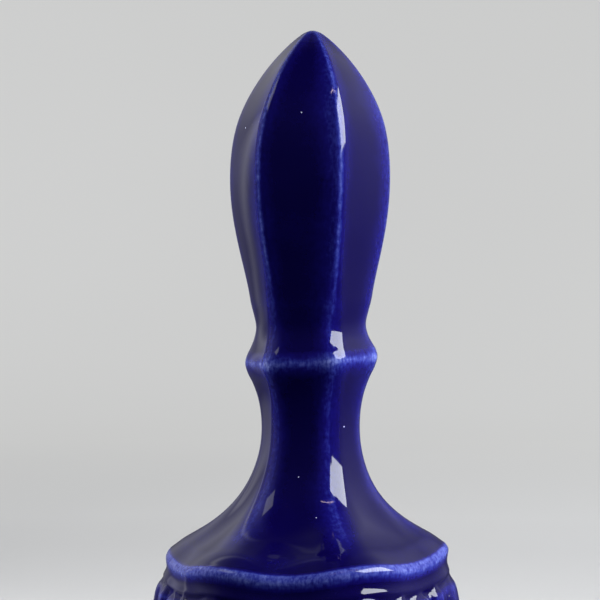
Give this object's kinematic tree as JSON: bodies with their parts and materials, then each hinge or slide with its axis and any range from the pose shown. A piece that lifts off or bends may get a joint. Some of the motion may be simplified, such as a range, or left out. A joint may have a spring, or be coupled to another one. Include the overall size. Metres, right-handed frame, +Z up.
{
  "type": "hand bell",
  "caption": "Glazed ceramic table bell: pointed six-sided handle, ridged collar, flared shoulder, faceted hollow bell and a bead clapper hung on a wire.",
  "frame": {"origin": "centre of the mouth, in the plane of the flat rim that the bell stands on", "axes": "+Z up along the handle, +X and -X through two of the six corners, +Y and -Y through two of the six flats"},
  "size_m": [0.082, 0.0738, 0.16],
  "materials": {
    "cobalt_glaze": "high gloss cobalt blue, paler where it thins over edges",
    "bead_glaze": "gloss cobalt blue",
    "plaster": "matte, off-white",
    "hanger_brass": "drawn wire, slightly tarnished",
    "cap_brass": "pressed sheet, satin"
  },
  "bodies": {
    "shell": {"bell_casting": "cobalt_glaze", "crown_plug": "plaster", "hanger_eye": "hanger_brass"},
    "ring": {"jump_ring": "hanger_brass"},
    "clapper": {"clapper_stem": "hanger_brass", "clapper_bead": "bead_glaze", "upper_bead_cap": "cap_brass", "lower_bead_cap": "cap_brass"}
  },
  "joints": [
    {"name": "ring_swing", "type": "hinge", "parent": "shell", "child": "ring", "pos_m": [0, 0, 0.0775], "axis": [1, 0, 0], "range_deg": [-18.5, 18.5]},
    {"name": "clapper_sway", "type": "hinge", "parent": "ring", "child": "clapper", "pos_m": [0, 0, 0.0737], "axis": [0, 1, 0], "range_deg": [-11.5, 11.5]}
  ]
}
